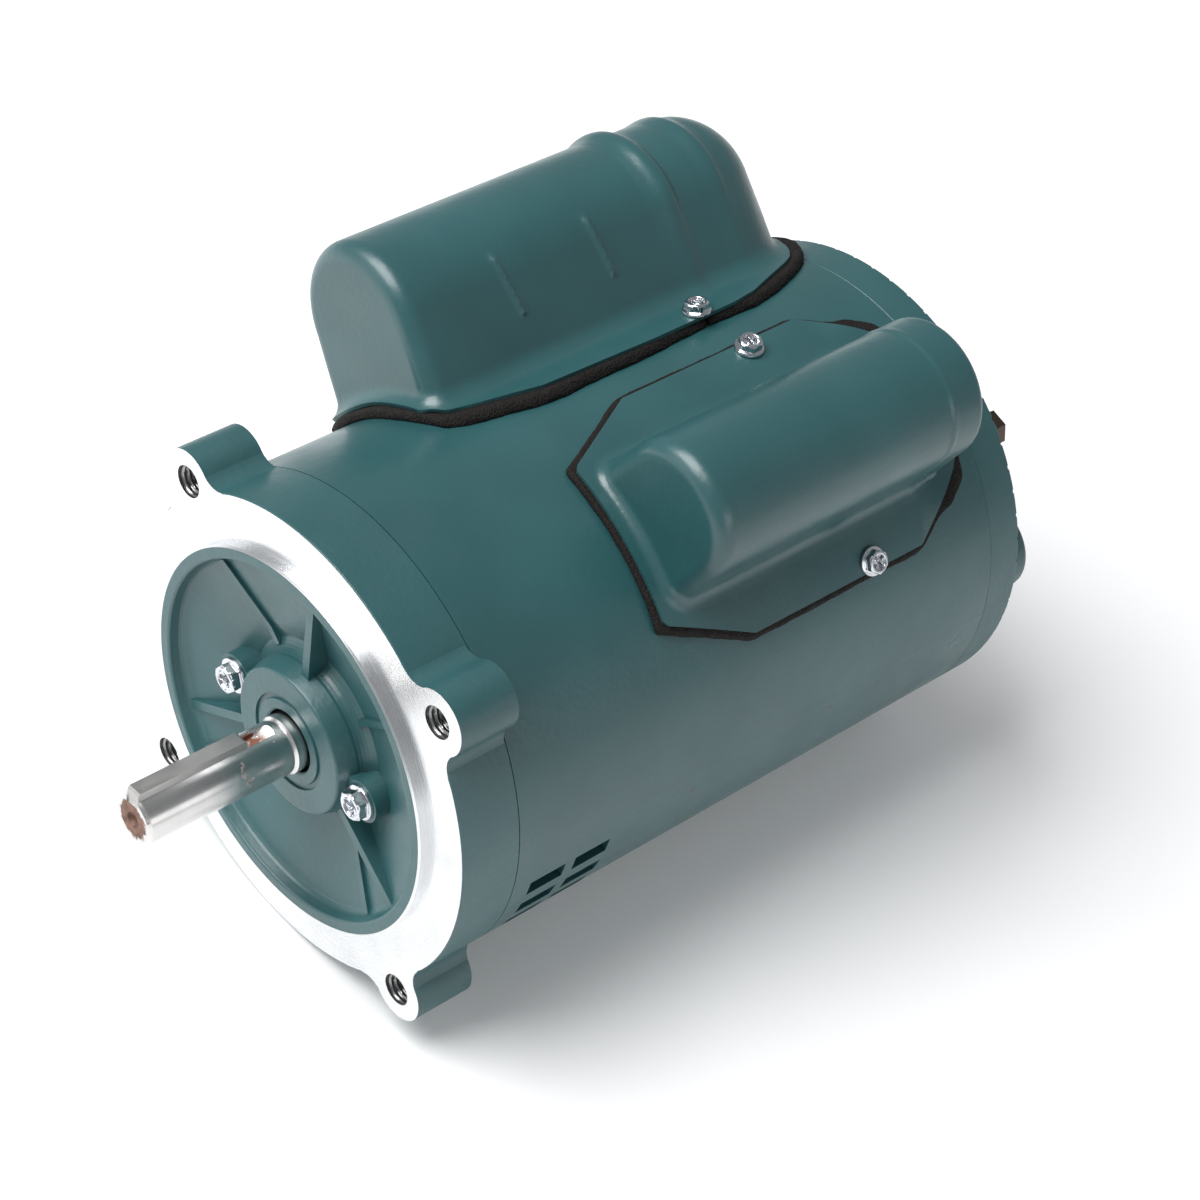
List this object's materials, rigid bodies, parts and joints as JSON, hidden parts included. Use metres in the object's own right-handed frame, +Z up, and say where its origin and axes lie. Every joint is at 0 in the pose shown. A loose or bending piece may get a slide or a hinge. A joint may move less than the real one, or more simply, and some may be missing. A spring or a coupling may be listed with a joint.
{
  "type": "electric motor",
  "caption": "Footless single-phase motor with a 56C mounting face, a keyed shaft and two capacitor covers on a round drip-proof shell.",
  "frame": {"origin": "centre of the C-face's machined mounting plane, on the shaft's axis", "axes": "-Y along the shaft, out of the face; +Y back along the body; +Z up with the four ears at 45 degrees"},
  "size_m": [0.1566, 0.2764, 0.1683],
  "materials": {
    "painted_cast": "teal green enamel over cast aluminium, machined faces left bare",
    "painted_sheet": "teal green enamel with a fine orange peel over steel sheet",
    "shaft_steel": "ground, with light rust spots",
    "bearing_steel": "polished",
    "zinc_plate": "bright zinc plated",
    "dark_bolt": "black oxide, slightly brown",
    "foam_rubber": "closed-cell foam, matt",
    "lamination": "stacked sheet, oiled",
    "copper_wire": "varnished",
    "cast_aluminium": "as cast",
    "capacitor_case": "moulded phenolic",
    "phenolic": "laminated board",
    "nylon": "moulded",
    "contact_copper": "stamped",
    "lead_red": "wire insulation",
    "lead_yellow": "wire insulation",
    "green_screw": "green chromate"
  },
  "bodies": {
    "frame": {"front_endbell": "painted_cast", "front_bearing_outer_ring": "bearing_steel", "front_bearing_shields": "zinc_plate", "bearing_retainer": "zinc_plate", "retainer_screws": "zinc_plate", "frame_shell": "painted_sheet", "stator_core": "lamination", "main_winding": "copper_wire", "start_winding": "copper_wire", "rear_endbell": "painted_cast", "rear_bearing_outer_ring": "bearing_steel", "rear_bearing_shields": "zinc_plate", "wave_washer": "shaft_steel", "through_bolts": "dark_bolt", "start_capacitor_cover": "painted_sheet", "start_cover_gasket": "foam_rubber", "start_cover_screws": "zinc_plate", "start_capacitor": "capacitor_case", "start_capacitor_terminals": "zinc_plate", "start_capacitor_leads": "lead_red", "run_capacitor_cover": "painted_sheet", "run_cover_gasket": "foam_rubber", "run_cover_screws": "zinc_plate", "run_capacitor": "capacitor_case", "run_capacitor_terminals": "zinc_plate", "run_capacitor_leads": "lead_yellow", "lead_grommets": "foam_rubber", "terminal_board": "phenolic", "terminal_blades": "contact_copper", "terminal_board_screws": "zinc_plate", "switch_plate": "phenolic", "fixed_contact": "contact_copper", "terminal_cover": "painted_sheet", "terminal_cover_screws": "zinc_plate", "ground_screw": "green_screw"},
    "rotor": {"shaft": "shaft_steel", "shaft_key": "shaft_steel", "rotor_core": "lamination", "rotor_cage": "cast_aluminium", "front_bearing_inner_ring": "bearing_steel", "rear_bearing_inner_ring": "bearing_steel", "governor_base": "zinc_plate", "governor_pins": "bearing_steel", "governor_springs": "shaft_steel"},
    "front_ball_set": {"front_balls": "bearing_steel", "front_ball_cage": "contact_copper"},
    "rear_ball_set": {"rear_balls": "bearing_steel", "rear_ball_cage": "contact_copper"},
    "collar": {"governor_collar": "nylon"},
    "weight_right": {"governor_weight_right": "zinc_plate"},
    "weight_left": {"governor_weight_left": "zinc_plate"},
    "switch_arm": {"switch_arm": "contact_copper"}
  },
  "joints": [
    {"name": "shaft_spin", "type": "hinge", "parent": "frame", "child": "rotor", "pos_m": [0, 0, 0], "axis": [0, 1, 0], "continuous": true},
    {"name": "front_ball_orbit", "type": "hinge", "parent": "frame", "child": "front_ball_set", "pos_m": [0, 0, 0], "axis": [0, 1, 0], "continuous": true},
    {"name": "rear_ball_orbit", "type": "hinge", "parent": "frame", "child": "rear_ball_set", "pos_m": [0, 0, 0], "axis": [0, 1, 0], "continuous": true},
    {"name": "collar_slide", "type": "slide", "parent": "rotor", "child": "collar", "axis": [0, -1, 0], "range_m": [0, 0.003], "stiffness_N_per_m": 400, "springref_m": -0.002, "deforming": ["governor_springs"]},
    {"name": "weight_right_swing", "type": "hinge", "parent": "rotor", "child": "weight_right", "pos_m": [0.024, 0.178, 0], "axis": [0, 0, 1], "range_deg": [0, 16]},
    {"name": "weight_left_swing", "type": "hinge", "parent": "rotor", "child": "weight_left", "pos_m": [-0.024, 0.178, 0], "axis": [0, 0, 1], "range_deg": [-16, 0]},
    {"name": "switch_arm_swing", "type": "hinge", "parent": "frame", "child": "switch_arm", "pos_m": [0.018, 0.1874, 0.0355], "axis": [1, 0, 0], "range_deg": [-4.3, 0]}
  ],
  "couplings": [
    {"joint": "front_ball_orbit", "follows": "shaft_spin", "ratio": 0.38},
    {"joint": "rear_ball_orbit", "follows": "shaft_spin", "ratio": 0.38},
    {"joint": "weight_right_swing", "follows": "collar_slide", "rad_per_m": 90.9},
    {"joint": "weight_left_swing", "follows": "collar_slide", "rad_per_m": -90.9},
    {"joint": "switch_arm_swing", "follows": "collar_slide", "rad_per_m": -25}
  ]
}
